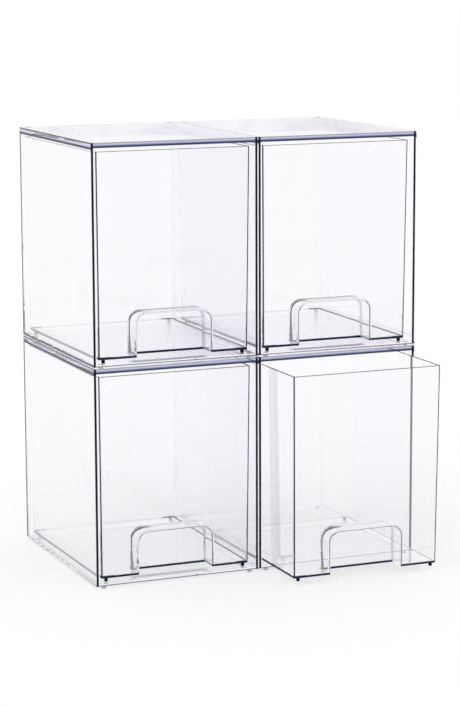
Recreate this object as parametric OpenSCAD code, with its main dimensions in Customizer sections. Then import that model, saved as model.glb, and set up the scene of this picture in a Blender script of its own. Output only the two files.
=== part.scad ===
/* [Case] */
// Outer width of one case
case_w = 133.4; // [110:0.1:200]
// Outer depth of one case
case_d = 170; // [130:1:240]
// Height of one case without its feet
case_h = 166.7; // [110:0.1:240]
// Side wall thickness at the open front
case_side_wall = 2.5; // [1.6:0.1:4]
// Top panel thickness at the open front
case_top_wall = 4; // [2.4:0.1:5]
// Floor panel thickness
case_floor_wall = 1.7; // [1.2:0.1:4]
// Back wall thickness
case_back_wall = 2.5; // [1.6:0.1:4]
// Moulding draft: how much thicker each side wall is at the back than at the front
case_side_draft = 1; // [0:0.1:1.4]
// Moulding draft: how much thicker the top panel is at the back than at the front
case_top_draft = 1.2; // [0:0.1:2]

/* [Drawer] */
// Gap between the drawer's rim and the case wall, on each side at the front
drawer_side_gap = 2.4; // [2:0.1:4]
// Gap between the drawer's rim and the top panel at the front
drawer_top_gap = 2.9; // [2.4:0.1:10]
// Gap between the closed drawer's rim and the case's back wall
drawer_back_gap = 1; // [0.5:0.1:4]
// How far the closed drawer's rim lies behind the case's front edges
drawer_set_back = 4; // [1:0.1:10]
// Thickness of the drawer's walls
drawer_wall = 1.6; // [1:0.1:3]
// Thickness of the drawer's floor
drawer_floor = 1.6; // [1:0.1:3]
// How far the front and back lean inwards from the rim down to the floor
drawer_end_lean = 2; // [0:0.1:4]
// How far each side leans inwards from the rim down to the floor
drawer_side_lean = 1.3; // [0:0.1:3]

/* [Finger pull] */
// Width of the arched finger recess
pull_w = 60; // [40:1:80]
// Height of the arched finger recess above the drawer's underside
pull_h = 32.7; // [20:0.1:60]
// Depth of the finger recess behind the drawer's front, at floor level
pull_depth = 15.3; // [10:0.1:25]
// Radius of the arch's two upper corners
pull_corner_r = 8.5; // [4:0.5:19]

/* [Feet] */
// Height of a case foot
case_foot_h = 2.3; // [1.5:0.1:6]
// Diameter of a case foot
case_foot_d = 3.6; // [2:0.1:8]
// Distance from the case's side to the middle of a foot
case_foot_side_inset = 6.8; // [5:0.1:15]
// Distance from the case's front or back to the middle of a foot
case_foot_end_inset = 2.9; // [2.9:0.1:15]
// Depth of the round seats in the top that take the feet of the case above
seat_depth = 1; // [0.5:0.1:1.2]
// Gap all round between a foot and its seat
seat_gap = 0.3; // [0.2:0.05:0.6]
// Height of a drawer foot
drawer_foot_h = 2.3; // [1:0.1:5]
// Diameter of a drawer foot
drawer_foot_d = 2.8; // [2:0.1:8]
// Distance from the drawer's underside edges to the middle of a foot, sideways
drawer_foot_side_inset = 4.2; // [4:0.1:15]
// Distance from the drawer's underside edges to the middle of a foot, front and back
drawer_foot_end_inset = 2; // [1.4:0.1:12]

/* [Stack] */
// Gap between the two columns of cases
column_gap = 0.2; // [0.1:0.1:5]
// How far the lower right drawer stands open
pulled_out = 58; // [10:1:110]

/* [Hidden] */

$fn = 48;
clear_plastic = [0.90, 0.90, 0.97, 0.35];
clear_pad = [0.80, 0.82, 0.90, 0.6];
cut = 1; // how far a cutting solid runs past the surface it opens

// Inside of the case, from its open front to its back wall
case_half_w = case_w / 2;
cavity_half_front = case_half_w - case_side_wall;
cavity_half_back = cavity_half_front - case_side_draft;
cavity_back_y = case_d - case_back_wall;
cavity_floor_z = case_floor_wall;
cavity_top_front_z = case_h - case_top_wall;
cavity_top_back_z = cavity_top_front_z - case_top_draft;

// Drawer: outside at the rim and at the underside
rim_half_w = cavity_half_front - drawer_side_gap;
rim_front_y = drawer_set_back;
rim_back_y = cavity_back_y - drawer_back_gap;
rim_z = cavity_top_front_z - drawer_top_gap;
base_half_w = rim_half_w - drawer_side_lean;
base_front_y = rim_front_y + drawer_end_lean;
base_back_y = rim_back_y - drawer_end_lean;
base_z = cavity_floor_z + drawer_foot_h;
drawer_h = rim_z - base_z;

// Stack: a case foot sinks into the seat of the case below
storey_h = case_h + case_foot_h - seat_depth;
column_x = (case_w + column_gap) / 2;
overhang = max(0, pulled_out - drawer_set_back);
front_y = (overhang - case_d) / 2;

// A value that leans evenly from the drawer's underside to its rim, at height z
function lean(z, at_base, at_rim) = at_base + (at_rim - at_base) * (z - base_z) / drawer_h;

// Runs a flat outline, drawn in X and Z, along Y
module along_y(y0, y1) {
    translate([0, y1, 0])
        rotate([90, 0, 0])
            linear_extrude(height = y1 - y0)
                children();
}

// Runs a flat outline, drawn in Y and Z, along X and evenly to both sides
module along_x(half) {
    rotate([90, 0, 90])
        translate([0, 0, -half])
            linear_extrude(height = 2 * half)
                children();
}

// Outline that is closed at its foot and grows evenly towards its head
module leaning_outline(z0, z1, left0, left1, right0, right1) {
    polygon([[left0, z0], [right0, z0], [right1, z1], [left1, z1]]);
}

// The drawer's outer form, drawn in by an inset on all four sides, from z0 to z1
module drawer_form(z0, z1, inset) {
    half0 = lean(z0, base_half_w, rim_half_w) - inset;
    half1 = lean(z1, base_half_w, rim_half_w) - inset;
    front0 = lean(z0, base_front_y, rim_front_y) + inset;
    front1 = lean(z1, base_front_y, rim_front_y) + inset;
    back0 = lean(z0, base_back_y, rim_back_y) - inset;
    back1 = lean(z1, base_back_y, rim_back_y) - inset;
    intersection() {
        along_y(-case_d, 2 * case_d)
            leaning_outline(z0, z1, -half0, -half1, half0, half1);
        along_x(case_w)
            leaning_outline(z0, z1, front0, front1, back0, back1);
    }
}

// Arch with a flat foot, upright sides and two round upper corners
module arch(half, z0, z1, r) {
    translate([-half, z0])
        square([2 * half, z1 - z0 - r]);
    translate([r - half, z0])
        square([2 * (half - r), z1 - z0]);
    for (side = [-1, 1])
        translate([side * (half - r), z1 - r])
            circle(r);
}

// Hollow of the case, open to the front and drawing in towards the back
module case_cavity() {
    mouth_half = cavity_half_front + case_side_draft * cut / cavity_back_y;
    mouth_top_z = cavity_top_front_z + case_top_draft * cut / cavity_back_y;
    intersection() {
        linear_extrude(height = case_h)
            polygon([
                [-mouth_half, -cut],
                [mouth_half, -cut],
                [cavity_half_back, cavity_back_y],
                [-cavity_half_back, cavity_back_y]
            ]);
        along_x(case_w)
            polygon([
                [-cut, cavity_floor_z],
                [cavity_back_y, cavity_floor_z],
                [cavity_back_y, cavity_top_back_z],
                [-cut, mouth_top_z]
            ]);
    }
}

// Puts a copy at each of a case's four foot positions
module at_case_feet() {
    for (side = [-1, 1], y = [case_foot_end_inset, case_d - case_foot_end_inset])
        translate([side * (case_half_w - case_foot_side_inset), y, 0])
            children();
}

// Case: a one-piece clear box, open at the front, with four round seats in its top
module case_shell() {
    seat_r = case_foot_d / 2 + seat_gap;
    color(clear_plastic)
        difference() {
            translate([-case_half_w, 0, 0])
                cube([case_w, case_d, case_h]);
            case_cavity();
            at_case_feet()
                translate([0, 0, case_h - seat_depth])
                    cylinder(h = seat_depth + cut, r = seat_r);
        }
}

// Case feet: four short clear pegs under the corners
module case_feet() {
    color(clear_pad)
        at_case_feet()
            translate([0, 0, -case_foot_h])
                cylinder(h = case_foot_h, d = case_foot_d);
}

// Drawer: a thin leaning bin with an arched finger recess in the front's lower middle
module drawer_bin() {
    recess_back_y = base_front_y + pull_depth;
    recess_top_z = base_z + pull_h;
    color(clear_plastic)
        difference() {
            union() {
                difference() {
                    drawer_form(base_z, rim_z, 0);
                    drawer_form(base_z + drawer_floor, rim_z + cut, drawer_wall);
                }
                intersection() {
                    drawer_form(base_z, rim_z, 0);
                    along_y(rim_front_y - cut, recess_back_y + drawer_wall)
                        arch(pull_w / 2 + drawer_wall, base_z, recess_top_z + drawer_wall,
                            pull_corner_r + drawer_wall);
                }
            }
            along_y(rim_front_y - cut, recess_back_y)
                arch(pull_w / 2, base_z - cut, recess_top_z, pull_corner_r);
        }
}

// Drawer feet: four small pegs under the corners that glide on the case floor
module drawer_feet() {
    x = base_half_w - drawer_foot_side_inset;
    front_foot_y = base_front_y + drawer_foot_end_inset;
    back_foot_y = base_back_y - drawer_foot_end_inset;
    color(clear_pad)
        for (side = [-1, 1], y = [front_foot_y, back_foot_y])
            translate([side * x, y, cavity_floor_z])
                cylinder(h = drawer_foot_h, d = drawer_foot_d);
}

// Puts a unit in its column (-1 left, 1 right) and storey (0 lower, 1 upper)
module at_unit(column, storey, out = 0) {
    translate([column * column_x, front_y - out, case_foot_h + storey * storey_h])
        children();
}

at_unit(-1, 1) case_shell();  // upper_left_case
at_unit(-1, 1) case_feet();  // upper_left_case_feet
at_unit(-1, 1) drawer_bin();  // upper_left_drawer
at_unit(-1, 1) drawer_feet();  // upper_left_drawer_feet
at_unit(1, 1) case_shell();  // upper_right_case
at_unit(1, 1) case_feet();  // upper_right_case_feet
at_unit(1, 1) drawer_bin();  // upper_right_drawer
at_unit(1, 1) drawer_feet();  // upper_right_drawer_feet
at_unit(-1, 0) case_shell();  // lower_left_case
at_unit(-1, 0) case_feet();  // lower_left_case_feet
at_unit(-1, 0) drawer_bin();  // lower_left_drawer
at_unit(-1, 0) drawer_feet();  // lower_left_drawer_feet
at_unit(1, 0) case_shell();  // lower_right_case
at_unit(1, 0) case_feet();  // lower_right_case_feet
at_unit(1, 0, pulled_out) drawer_bin();  // lower_right_drawer
at_unit(1, 0, pulled_out) drawer_feet();  // lower_right_drawer_feet
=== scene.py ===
import math
from types import SimpleNamespace

import bpy
from mathutils import Matrix, Vector


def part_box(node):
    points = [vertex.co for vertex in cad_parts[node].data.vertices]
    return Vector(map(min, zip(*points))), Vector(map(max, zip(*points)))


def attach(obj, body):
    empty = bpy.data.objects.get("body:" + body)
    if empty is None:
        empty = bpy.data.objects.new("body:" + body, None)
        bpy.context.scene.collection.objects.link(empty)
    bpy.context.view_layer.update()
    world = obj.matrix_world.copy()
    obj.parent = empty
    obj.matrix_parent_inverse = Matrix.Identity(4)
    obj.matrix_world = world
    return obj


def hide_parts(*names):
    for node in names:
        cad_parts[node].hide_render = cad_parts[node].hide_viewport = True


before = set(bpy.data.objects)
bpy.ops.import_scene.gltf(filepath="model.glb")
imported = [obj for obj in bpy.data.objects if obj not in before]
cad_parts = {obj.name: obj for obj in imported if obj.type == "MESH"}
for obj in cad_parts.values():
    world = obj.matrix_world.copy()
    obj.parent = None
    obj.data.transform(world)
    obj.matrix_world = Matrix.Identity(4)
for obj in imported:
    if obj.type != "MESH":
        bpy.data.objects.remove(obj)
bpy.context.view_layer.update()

# ---------------------------------------------------------------------------------------------------------------
# Cases. Four open-fronted boxes, each injection moulded in one piece from clear, faintly blue styrene plastic.
# The walls are polished; their corners have the small round that a mould leaves.
# ---------------------------------------------------------------------------------------------------------------
UNITS = ("upper_left", "upper_right", "lower_left", "lower_right")
case_low, case_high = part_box("upper_right_case")
FRONT_Y, BACK_Y = case_low.y, case_high.y
COLUMN_X = (case_low.x + case_high.x) / 2
CASE_HALF = (case_high.x - case_low.x) / 2
CASE_HEIGHT = case_high.z - case_low.z
FIRST_CASE_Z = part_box("lower_right_case")[0].z
STOREY_HEIGHT = case_low.z - FIRST_CASE_Z
TOP_WALL = 0.004
MOULD_ROUND = 0.0004
# What a pair of faces lets through of each colour, and how fast it fades for each metre of plastic
CLEAR_TINT = (0.982, 0.980, 0.989, 1)
CLEAR_DEPTH = (0.4, 0.43, 0.16)


class Maths:
    """A socket's value: sums on it add their own Math nodes."""

    def __init__(self, finish, socket):
        self.finish = finish
        self.socket = socket

    def _with(self, operation, first, second):
        node = self.finish.add("ShaderNodeMath", {"operation": operation}, {0: first, 1: second})
        return Maths(self.finish, node.outputs[0])

    def __add__(self, other):
        return self._with("ADD", self, other)

    def __radd__(self, other):
        return self._with("ADD", other, self)

    def __sub__(self, other):
        return self._with("SUBTRACT", self, other)

    def __rsub__(self, other):
        return self._with("SUBTRACT", other, self)

    def __mul__(self, other):
        return self._with("MULTIPLY", self, other)

    def __rmul__(self, other):
        return self._with("MULTIPLY", other, self)

    def __abs__(self):
        return self._with("ABSOLUTE", self, 0)

    def at_most(self, other):
        return self._with("MINIMUM", self, other)

    def at_least(self, other):
        return self._with("MAXIMUM", self, other)

    def past(self, limit):
        """1 where the value is over the limit, else 0."""
        return self._with("GREATER_THAN", self, limit)

    def root(self):
        return self._with("SQRT", self.at_least(0), 0)

    def rise(self, start, end):
        """0 before start, 1 after end and even between them; end may be the lower one."""
        return ((self - start) * (1 / (end - start))).at_least(0).at_most(1)


class Finish:
    """The nodes of one material, or of the room's light, under construction."""

    def __init__(self, owner):
        owner.use_nodes = True
        self.tree = owner.node_tree
        self.tree.nodes.clear()

    def add(self, kind, settings=None, sockets=None):
        """A node of that kind: its settings first, then the values or links of its sockets."""
        node = self.tree.nodes.new(kind)
        for key, value in (settings or {}).items():
            setattr(node, key, value)
        for key, value in (sockets or {}).items():
            if isinstance(value, Maths):
                value = value.socket
            if isinstance(value, bpy.types.NodeSocket):
                self.tree.links.new(value, node.inputs[key])
            else:
                node.inputs[key].default_value = value
        return node

    def value(self, node, output=0):
        """A node's output, for sums."""
        return Maths(self, node.outputs[output])


def clear_plastic(name, haze, edges):
    """Clear polished plastic: a glassy surface with faint handling marks and flow waves over a body that takes a
    little colour with depth. edges(spot) lists the places where shade is painted on the plastic's edge, standing in
    for the darkness seen where one looks into it: how strongly each shows, its painted colour, and whether it hides
    what is behind it (1) or only tints it (0)."""
    plastic = bpy.data.materials.new(name)
    finish = Finish(plastic)
    place = finish.add("ShaderNodeTexCoord").outputs["Object"]
    apart = finish.add("ShaderNodeSeparateXYZ", {}, {"Vector": place})
    x, y, z = (finish.value(apart, axis) for axis in "XYZ")
    geometry = finish.add("ShaderNodeNewGeometry")
    facing = finish.add("ShaderNodeSeparateXYZ", {}, {"Vector": geometry.outputs["Normal"]})
    # The storeys part in the gap between a lower case's top and the underside of the case on it
    upper = z.past(FIRST_CASE_Z + CASE_HEIGHT + 0.0006)
    spot = SimpleNamespace(
        x=x,
        y=y,
        # To the right of the case's middle, and the same without its sign
        aside=x - (x.past(0) - 0.5) * (2 * COLUMN_X),
        across=abs(abs(x) - COLUMN_X),
        # Above the case's underside, and whether that case is an upper one
        height=z - FIRST_CASE_Z - upper * STOREY_HEIGHT,
        upper=upper,
        # Faces that look left or right, and those that look up or down
        sideways=abs(finish.value(facing, "X")).rise(0.5, 0.9),
        level=abs(finish.value(facing, "Z")).rise(0.75, 0.97),
        # 1 where light meets the face from the air, 0 where it meets it from within the plastic
        from_outside=1 - finish.value(geometry, "Backfacing"),
    )
    # Painted edge shade: each edge's colour is mixed over the plastic's tint. Where it hides what is behind it,
    # Metallic takes it, so that the painted dark shows no white gloss.
    colour, painted_shade_cover = CLEAR_TINT, 0
    for where, tint, hides in edges(spot):
        mix = finish.add("ShaderNodeMix", {"data_type": "RGBA"}, {0: where, 6: colour, 7: tint})
        colour = mix.outputs[2]
        if hides:
            painted_shade_cover = where if painted_shade_cover == 0 else painted_shade_cover.at_least(where)
    # Hairline marks from handling: long thin noise, only where a broad patchy noise lets them show
    stretched = finish.add("ShaderNodeMapping", {}, {"Vector": place, "Scale": (900, 60, 35)})
    hairs = finish.add("ShaderNodeTexNoise", {}, {"Vector": stretched.outputs[0], "Scale": 1, "Detail": 2})
    patches = finish.add("ShaderNodeTexNoise", {}, {"Vector": place, "Scale": 38, "Detail": 3})
    worn = (finish.value(hairs) - 0.62).at_least(0) * (finish.value(patches) - 0.45).at_least(0)
    rough = (haze + worn * 0.6).at_most(0.2)
    # Flow of the cooling melt: broad, very shallow waves
    flow = finish.add("ShaderNodeTexNoise", {}, {"Vector": place, "Scale": 26, "Detail": 1})
    bump = finish.add("ShaderNodeBump", {}, {"Strength": 0.12, "Distance": 0.00004, "Height": flow.outputs[0]})
    surface = finish.add(
        "ShaderNodeBsdfPrincipled",
        {},
        {
            "Base Color": colour,
            "Roughness": rough,
            "Metallic": painted_shade_cover,
            "IOR": 1.49,
            "Transmission Weight": 1.0,
            "Normal": bump.outputs[0],
        },
    )
    strongest = max(CLEAR_DEPTH) * 1.1
    body = finish.add(
        "ShaderNodeVolumeAbsorption",
        {},
        {"Color": tuple(1 - depth / strongest for depth in CLEAR_DEPTH) + (1,), "Density": strongest},
    )
    finish.add("ShaderNodeOutputMaterial", {}, {"Surface": surface.outputs[0], "Volume": body.outputs[0]})
    return plastic


def wear(piece, material):
    """Gives a moulding its material on all its faces."""
    piece.data.materials.clear()
    piece.data.materials.append(material)


def round_edges(piece):
    """Rounds a moulding's edges as its mould does."""
    joined = piece.modifiers.new("joined", "WELD")
    joined.merge_threshold = 0.000002
    flat = piece.modifiers.new("flat", "DECIMATE")
    flat.decimate_type = "DISSOLVE"
    flat.angle_limit = math.radians(0.3)
    edges = piece.modifiers.new("edges", "BEVEL")
    edges.width = MOULD_ROUND
    edges.segments = 2
    edges.limit_method = "ANGLE"
    edges.angle_limit = math.radians(35)


# Painted shade: colours of the thin dark lines painted on the outer faces, and of the bands painted at the open
# front, standing in for the darkness seen where one looks into the clear walls
SIDE_LINE_PAINTED_SHADE = (0.02, 0.018, 0.03, 1)
FACE_LINE_PAINTED_SHADE = (0.05, 0.05, 0.06, 1)
SIDE_BAND_PAINTED_SHADE = (0.72, 0.69, 0.88, 1)
PANEL_PAINTED_SHADE_PALE = (0.6, 0.6, 0.72, 1)
PANEL_PAINTED_SHADE_UPPER = (0.4, 0.4, 0.47, 1)
PANEL_PAINTED_SHADE_MIDDLE = (0.28, 0.31, 0.46, 1)
PANEL_PAINTED_SHADE_LOWER = (0.045, 0.055, 0.135, 1)
FLOOR_END_PAINTED_SHADE = (0.16, 0.155, 0.235, 1)
WALL_END_PAINTED_SHADE = (0.008, 0.009, 0.016, 1)


def case_painted_edge_shade(spot):
    """Painted shade: the walls' ends are painted dark where the case is open, and its outer faces get thin painted
    dark lines along their edges, standing in for the darkness seen where one looks into the clear walls. They count
    from outside only, so that light within the plastic isn't lost at them."""
    under_panel = CASE_HEIGHT - TOP_WALL
    at_panel = spot.height.rise(under_panel - 0.0001, under_panel + 0.0002)
    # Outer side, with a lilac band of painted shade at the top panel
    side = spot.across.rise(CASE_HALF - 0.0008, CASE_HALF - 0.0006) * spot.from_outside
    open_side = side * abs(spot.x).past(COLUMN_X)
    # The painted lines are stronger on the upper cases
    line_strength = 0.7 + 0.3 * spot.upper
    along_top = spot.height.rise(CASE_HEIGHT - 0.0009, CASE_HEIGHT - 0.0008)
    along_panel = abs(spot.height - under_panel + 0.0001).rise(0.001, 0.0009)
    along_bottom = (spot.height - 0.0008 * spot.upper).rise(0.0006, 0.0005)
    along_rear = spot.y.rise(BACK_Y - 0.0026, BACK_Y - 0.0024)
    below_panel = spot.height.rise(under_panel, under_panel - 0.0002)
    # Top and back
    top_face = spot.height.rise(CASE_HEIGHT - 0.0004, CASE_HEIGHT - 0.0002) * spot.from_outside
    back_face = spot.y.rise(BACK_Y - 0.0004, BACK_Y - 0.0002) * spot.from_outside
    along_sides = spot.across.rise(CASE_HALF - 0.0012, CASE_HALF - 0.001)
    along_ends = abs(spot.height - CASE_HEIGHT / 2).rise(CASE_HEIGHT / 2 - 0.0012, CASE_HEIGHT / 2 - 0.001)
    # Open front: painted shade on the walls' ends, a little shifted to the side from which they catch light
    front = spot.y.rise(FRONT_Y + 0.0005, FRONT_Y + 0.0002) * spot.from_outside
    from_middle = abs(abs(spot.x + 0.0003) - COLUMN_X)
    wall_end = from_middle.rise(0.0644, 0.0647) * from_middle.rise(0.0665, 0.0662)
    panel_end = front * at_panel
    return (
        (side * at_panel, SIDE_BAND_PAINTED_SHADE, 0),
        (side * along_top * line_strength, SIDE_LINE_PAINTED_SHADE, 1),
        (side * along_panel, SIDE_LINE_PAINTED_SHADE, 1),
        (side * along_bottom * line_strength, SIDE_LINE_PAINTED_SHADE, 1),
        (open_side * along_rear * below_panel, SIDE_LINE_PAINTED_SHADE, 1),
        (top_face * along_sides.at_least(along_rear), FACE_LINE_PAINTED_SHADE, 1),
        (back_face * along_sides.at_least(along_ends), FACE_LINE_PAINTED_SHADE, 1),
        # Painted shade on the top panel's front end: pale, with a grey strip at its top, and darker down to navy
        # towards its underside
        (panel_end, PANEL_PAINTED_SHADE_PALE, 1),
        (front * spot.height.rise(CASE_HEIGHT - 0.0012, CASE_HEIGHT - 0.0009), PANEL_PAINTED_SHADE_UPPER, 1),
        (panel_end * spot.height.rise(under_panel + 0.0026, under_panel + 0.002), PANEL_PAINTED_SHADE_MIDDLE, 1),
        (panel_end * spot.height.rise(under_panel + 0.0017, under_panel + 0.0013), PANEL_PAINTED_SHADE_LOWER, 1),
        (front * spot.height.rise(0.0009, 0.0006), FLOOR_END_PAINTED_SHADE, 1),
        (front * wall_end, WALL_END_PAINTED_SHADE, 1),
    )


case_plastic = clear_plastic("case_plastic", 0.0, case_painted_edge_shade)
for unit in UNITS:
    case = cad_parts[unit + "_case"]
    wear(case, case_plastic)
    round_edges(case)

# ---------------------------------------------------------------------------------------------------------------
# Case feet. Four short clear pegs under the corners of each case. Those of an upper case stand in the round seats
# in the top of the case below it.
# ---------------------------------------------------------------------------------------------------------------
FOOT_HAZE = 0.05
# Painted shade: the sides of the case feet are tinted grey, standing in for the darker look of their clear sides
CASE_FOOT_SIDE_PAINTED_SHADE = (0.45, 0.45, 0.52, 1)
case_foot_plastic = clear_plastic(
    "case_foot_plastic", FOOT_HAZE, lambda spot: ((1 - spot.level, CASE_FOOT_SIDE_PAINTED_SHADE, 0),)
)
for unit in UNITS:
    wear(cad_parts[unit + "_case_feet"], case_foot_plastic)

# ---------------------------------------------------------------------------------------------------------------
# Drawers. Thin-walled bins of the same clear plastic, one moulding each. They lean in towards the floor so that
# they leave the mould. Their upright corners are round, and an arched finger recess opens below the front.
# ---------------------------------------------------------------------------------------------------------------
DRAWER_WALL = 0.0016
END_LEAN, SIDE_LEAN = 0.002, 0.0013
PULL_HALF, PULL_HEIGHT, PULL_DEPTH, PULL_ROUND = 0.030, 0.0327, 0.0153, 0.0085
CORNER_ROUND, BACK_ROUND, RIM_ROUND = 0.0022, 0.0004, 0.0005
rim_low, rim_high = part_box("upper_left_drawer")
drawer_floor, drawer_rim = rim_low.z, rim_high.z


def alone(piece):
    """Only this piece is selected and active."""
    bpy.ops.object.select_all(action="DESELECT")
    piece.select_set(True)
    bpy.context.view_layer.objects.active = piece


def pick_edges(piece, wanted, sharp=None):
    """Selects the edges whose two ends pass, in edit mode; with sharp, only those that turn by more degrees."""
    bpy.ops.mesh.select_mode(type="EDGE")
    bpy.ops.mesh.select_all(action="DESELECT")
    if sharp is not None:
        bpy.ops.mesh.edges_select_sharp(sharpness=math.radians(sharp))
    bpy.ops.object.mode_set(mode="OBJECT")
    points = piece.data.vertices
    for edge in piece.data.edges:
        ends = [points[index].co for index in edge.vertices]
        edge.select = (sharp is None or edge.select) and wanted(*ends)
    bpy.ops.object.mode_set(mode="EDIT")


def near(first, second):
    """Two measures are the same, but for rounding."""
    return abs(first - second) < 0.00001


def block(name, low, high):
    """A plain block from its lowest to its highest corner, left in edit mode."""
    bpy.ops.object.select_all(action="DESELECT")
    bpy.ops.mesh.primitive_cube_add(size=1, location=(low + high) / 2)
    piece = bpy.context.object
    piece.name = name
    piece.scale = high - low
    bpy.ops.object.transform_apply(location=True, rotation=False, scale=True)
    bpy.ops.object.mode_set(mode="EDIT")
    return piece


def leaning_block(name, bottom, top, inset, corner):
    """The bin's form between two heights, drawn in by inset on all sides, with rounded upright corners."""
    drawer_height = drawer_rim - drawer_floor
    size_at_top = (top - drawer_rim) / drawer_height
    size_at_bottom = (bottom - drawer_rim) / drawer_height
    lean = Vector((SIDE_LEAN, END_LEAN, 0))
    margin = Vector((inset, inset, 0))
    low = rim_low - lean * size_at_top + margin
    high = rim_high + lean * size_at_top - margin
    low.z, high.z = bottom, top
    piece = block(name, low, high)
    pick_edges(piece, lambda a, b: near(a.z, bottom) and near(b.z, bottom))
    drawn_in = lean * (size_at_top - size_at_bottom)
    bpy.ops.transform.resize(
        value=(1 - 2 * drawn_in.x / (high.x - low.x), 1 - 2 * drawn_in.y / (high.y - low.y), 1),
        center_override=(low + high) / 2,
    )
    pick_edges(piece, lambda a, b: not near(a.z, b.z))
    bpy.ops.mesh.bevel(offset=corner, segments=8, affect="EDGES")
    bpy.ops.object.mode_set(mode="OBJECT")
    return piece


def arch(name, grow, back_round):
    """The recess as a solid arch, grown on all sides, with its round upper corners and back outline."""
    middle = (rim_low.x + rim_high.x) / 2
    back = rim_low.y + END_LEAN + PULL_DEPTH + grow
    top = drawer_floor + PULL_HEIGHT + grow
    low = Vector((middle - PULL_HALF - grow, rim_low.y - 0.002, drawer_floor - 0.002))
    high = Vector((middle + PULL_HALF + grow, back, top))
    piece = block(name, low, high)
    pick_edges(piece, lambda a, b: near(a.z, top) and near(b.z, top) and near(a.x, b.x))
    bpy.ops.mesh.bevel(offset=PULL_ROUND + grow, segments=12, affect="EDGES")
    pick_edges(piece, lambda a, b: near(a.y, back) and near(b.y, back))
    bpy.ops.mesh.bevel(offset=back_round, segments=4, affect="EDGES")
    bpy.ops.object.mode_set(mode="OBJECT")
    return piece


def cut_away(piece, tool):
    """Takes the tool's form out of the piece and throws the tool away."""
    alone(piece)
    cut = piece.modifiers.new("cut", "BOOLEAN")
    cut.operation = "DIFFERENCE"
    cut.solver = "EXACT"
    cut.object = tool
    bpy.ops.object.modifier_apply(modifier=cut.name)
    bpy.data.objects.remove(tool)


bin_form = leaning_block("upper_left_drawer_moulding", drawer_floor, drawer_rim, 0, CORNER_ROUND)
hollow = leaning_block(
    "hollow", drawer_floor + DRAWER_WALL, drawer_rim + 0.002, DRAWER_WALL, CORNER_ROUND - DRAWER_WALL
)
cut_away(hollow, arch("recess_wall", DRAWER_WALL, BACK_ROUND))
cut_away(bin_form, hollow)
cut_away(bin_form, arch("recess", 0, BACK_ROUND))
alone(bin_form)
bpy.ops.object.mode_set(mode="EDIT")
pick_edges(bin_form, lambda a, b: near(a.z, drawer_rim) and near(b.z, drawer_rim), sharp=40)
bpy.ops.mesh.bevel(offset=RIM_ROUND, segments=5, affect="EDGES")
pick_edges(bin_form, lambda a, b: a.z < drawer_rim - 0.01 and b.z < drawer_rim - 0.01, sharp=40)
bpy.ops.mesh.bevel(offset=MOULD_ROUND, segments=3, affect="EDGES")
bpy.ops.object.mode_set(mode="OBJECT")
bpy.ops.object.shade_smooth_by_angle(angle=math.radians(40))
even = bin_form.modifiers.new("even", "WEIGHTED_NORMAL")
even.keep_sharp = True
bpy.ops.object.modifier_apply(modifier=even.name)

# Painted shade: colours painted on the drawer's edges, standing in for the darkness seen where one looks into the
# clear walls
RIM_PAINTED_SHADE = (0.06, 0.06, 0.07, 1)
CORNER_PAINTED_SHADE = (0.03, 0.03, 0.04, 1)
PULL_FRONT_PAINTED_SHADE = (0.04, 0.034, 0.09, 1)
PULL_FAR_RIGHT_PAINTED_SHADE = (0.1, 0.09, 0.14, 1)
PULL_FAR_TOP_PAINTED_SHADE = (0.12, 0.11, 0.17, 1)
PULL_FAR_LEFT_PAINTED_SHADE = (0.012, 0.01, 0.022, 1)
FLOOR_EDGE_PAINTED_SHADE = (0.016, 0.024, 0.055, 1)


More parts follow.
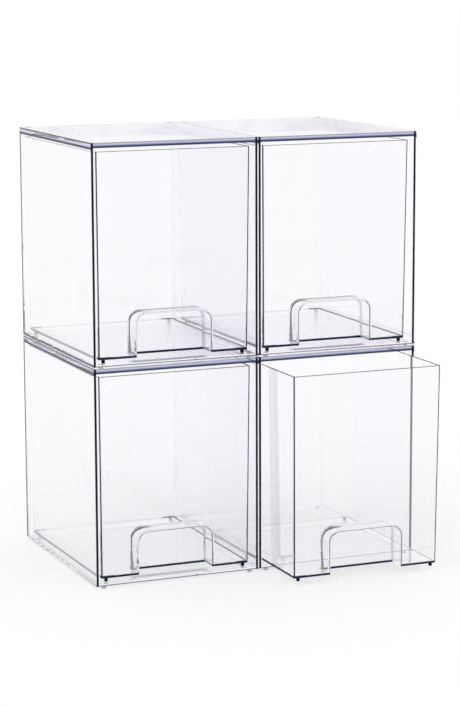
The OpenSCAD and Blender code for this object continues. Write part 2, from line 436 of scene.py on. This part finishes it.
def drawer_painted_edge_shade(spot):
    """Painted shade: the rim is painted as a thin grey line, the floor's edge as a nearly black one, the upright
    corners as dark grey ones, and the recess by its two outlines, each painted stronger on one side as if the light
    came from the left."""
    case_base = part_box("upper_left_case")[0].z
    rim, base = drawer_rim - case_base, drawer_floor - case_base
    is_open = spot.x.past(0) * (1 - spot.upper)
    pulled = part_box("lower_left_drawer")[0].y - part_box("lower_right_drawer")[0].y
    depth = spot.y + pulled * is_open - (rim_low.y + END_LEAN)
    left = spot.aside.rise(0.005, -0.005)
    # Recess: its painted shade outlines at the front and at its far end
    wide = (spot.across - (PULL_HALF - PULL_ROUND)).at_least(0)
    high = (spot.height - (base + PULL_HEIGHT - PULL_ROUND)).at_least(0)
    flat = wide.rise(0.006, 0.003)
    from_arch = abs((wide * wide + high * high).root() - PULL_ROUND)
    at_front = from_arch.rise(0.0008, 0.0006) * depth.rise(0.0006, 0.0003)
    at_far_end = (depth + high * 0.15 + flat * 0.0025).rise(PULL_DEPTH - 0.0022, PULL_DEPTH - 0.002)
    at_back = from_arch.rise(0.0012, 0.001) * at_far_end * depth.rise(PULL_DEPTH + 0.0006, PULL_DEPTH + 0.0004)
    # The recess's painted front outline is stronger on the right and its far outline on the left, as if the light
    # came from the left
    front_strength = flat * (0.7 - 0.45 * spot.upper) + (1 - flat) * (0.35 + 0.4 * (1 - left))
    left_round = spot.aside.rise(-0.014, -0.019)
    # Floor: its painted dark edge, weaker from within, behind the recess and at the open drawer's right
    seen = spot.from_outside + (1 - spot.from_outside) * (0.6 - 0.5 * is_open)
    near_recess = depth.rise(PULL_DEPTH + 0.006, PULL_DEPTH + 0.004)
    floor_front = spot.height.rise(base + 0.0020, base + 0.0017) * (1 - spot.sideways) * (0.2 + 0.8 * near_recess)
    floor_side = (
        spot.height.rise(base + 0.0022, base + 0.002) * spot.across.past(0.05) * (1 - 0.75 * is_open * (1 - left))
    )
    # Upright corners, painted as dark lines: how far the spot is from the outside of the nearest side, front and
    # back
    below_rim = (rim - spot.height) * (1 / (rim - base))
    from_side = (rim_high.x - rim_low.x) / 2 - below_rim * SIDE_LEAN - spot.across
    from_front = depth + (1 - below_rim) * END_LEAN
    from_back = (rim_high.y - rim_low.y) - END_LEAN * 2 + (1 - below_rim) * END_LEAN - depth
    ends = from_front.rise(0.0012, 0.001).at_least(from_back.rise(0.0012, 0.001) * abs(spot.x).past(COLUMN_X))
    corner = (from_side - 0.0005 * (1 - left)).rise(0.0012, 0.001) * ends * spot.from_outside
    return (
        (spot.height.rise(rim - 0.0006, rim - 0.0004), RIM_PAINTED_SHADE, 0),
        (corner, CORNER_PAINTED_SHADE, 1),
        (at_front * front_strength, PULL_FRONT_PAINTED_SHADE, 1),
        (at_back * (1 - left) * (1 - flat) * 0.5, PULL_FAR_RIGHT_PAINTED_SHADE, 0),
        (at_back * flat * (0.25 + 0.65 * spot.upper), PULL_FAR_TOP_PAINTED_SHADE, 1),
        (at_back * left_round, PULL_FAR_LEFT_PAINTED_SHADE, 1),
        ((1 - spot.level) * floor_front.at_least(floor_side) * seen, FLOOR_EDGE_PAINTED_SHADE, 1),
    )


drawer_plastic = clear_plastic("drawer_plastic", 0.0, drawer_painted_edge_shade)
wear(bin_form, drawer_plastic)
mouldings = {"upper_left": bin_form}
for unit in UNITS[1:]:
    moulding = bin_form.copy()
    moulding.data = bin_form.data.copy()
    moulding.name = unit + "_drawer_moulding"
    bpy.context.collection.objects.link(moulding)
    moulding.data.transform(Matrix.Translation(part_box(unit + "_drawer")[0] - rim_low))
    mouldings[unit] = moulding
# A copy takes the notes that these calls leave on a piece with it, so they come after the last copy
for unit, moulding in mouldings.items():
    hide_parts(unit + "_drawer")
    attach(moulding, unit + "_drawer_body")

# ---------------------------------------------------------------------------------------------------------------
# Drawer feet. Four small pegs under the corners of each drawer, which keep its floor off the case's and glide on it.
# Their sides catch no light and look black.
# ---------------------------------------------------------------------------------------------------------------
DRAWER_FOOT_SIDE = (0.006, 0.007, 0.012, 1)
drawer_foot_plastic = clear_plastic(
    "drawer_foot_plastic", FOOT_HAZE, lambda spot: ((1 - spot.level, DRAWER_FOOT_SIDE, 1),)
)
for unit in UNITS:
    wear(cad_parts[unit + "_drawer_feet"], drawer_foot_plastic)

# ---------------------------------------------------------------------------------------------------------------
# Floor. A plain white table top, just under the lowest feet. It glows towards the camera, also in mirror images and
# through plastic, so that it looks as white as the room, and it still takes the shadow.
# ---------------------------------------------------------------------------------------------------------------
bpy.ops.object.select_all(action="DESELECT")
bpy.ops.mesh.primitive_plane_add(size=8, location=(0, 0, -0.00005))
floor = bpy.context.object
floor.name = "floor"
bpy.ops.object.transform_apply(location=True)


def shown(finish):
    """1 for rays that show the stage: straight, mirrored or through plastic. 0 for light that falls on things."""
    ray = finish.add("ShaderNodeLightPath")
    mirrored = finish.value(ray, "Is Camera Ray").at_least(finish.value(ray, "Is Glossy Ray"))
    return mirrored.at_least(finish.value(ray, "Is Transmission Ray"))


paper = bpy.data.materials.new("floor_paper")
finish = Finish(paper)
matt = finish.add("ShaderNodeBsdfDiffuse", {}, {"Color": (0.3, 0.3, 0.3, 1)})
glow = finish.add("ShaderNodeEmission", {}, {"Color": (1, 1, 1, 1), "Strength": shown(finish) * 0.72})
both = finish.add("ShaderNodeAddShader", {}, {0: matt.outputs[0], 1: glow.outputs[0]})
finish.add("ShaderNodeOutputMaterial", {}, {"Surface": both.outputs[0]})
floor.data.materials.append(paper)

# ---------------------------------------------------------------------------------------------------------------
# Light. A white room all round and one broad soft lamp from the upper left. The room looks pure white, but lights
# the plastic a little less.
# ---------------------------------------------------------------------------------------------------------------
room = bpy.data.worlds.new("room")
bpy.context.scene.world = room
finish = Finish(room)
air = finish.add("ShaderNodeBackground", {}, {"Color": (1, 1, 1, 1), "Strength": 0.88 + 0.12 * shown(finish)})
finish.add("ShaderNodeOutputWorld", {}, {"Surface": air.outputs[0]})

bpy.ops.object.light_add(type="SUN", location=(-1.2, -1.0, 2.0))
lamp = bpy.context.object
lamp.name = "soft_lamp"
lamp.data.angle = math.radians(45)
lamp.data.energy = 0.47
lamp.rotation_euler = Vector((1.2, 1.0, -2.0)).to_track_quat("-Z", "Y").to_euler()

# Plastic this clear hands light on through many walls before it comes out again
scene = bpy.context.scene
scene.cycles.max_bounces = 400
scene.cycles.transmission_bounces = 400
scene.cycles.glossy_bounces = 400

# ---------------------------------------------------------------------------------------------------------------
# Camera. To the left of the front and a little above, with a long lens, as in the photograph. Its place and turn
# were worked out from the straight edges of the cases.
# ---------------------------------------------------------------------------------------------------------------
bpy.ops.object.camera_add()
camera = bpy.context.object
camera.name = "camera"
turn, tilt, roll = math.radians(22.736), math.radians(9.8135), math.radians(-0.21)
ahead = Vector((math.sin(turn) * math.cos(tilt), math.cos(turn) * math.cos(tilt), -math.sin(tilt)))
level_right = Vector((math.cos(turn), -math.sin(turn), 0))
level_up = level_right.cross(ahead)
right = math.cos(roll) * level_right + math.sin(roll) * level_up
up = math.cos(roll) * level_up - math.sin(roll) * level_right
place = Matrix.Translation((-0.7015, -1.6754, 0.4771))
camera.matrix_world = place @ Matrix((right, up, -ahead)).transposed().to_4x4()
camera.data.sensor_width = 36
camera.data.lens = 119.46
scene.camera = camera

scene.view_settings.view_transform = "Standard"
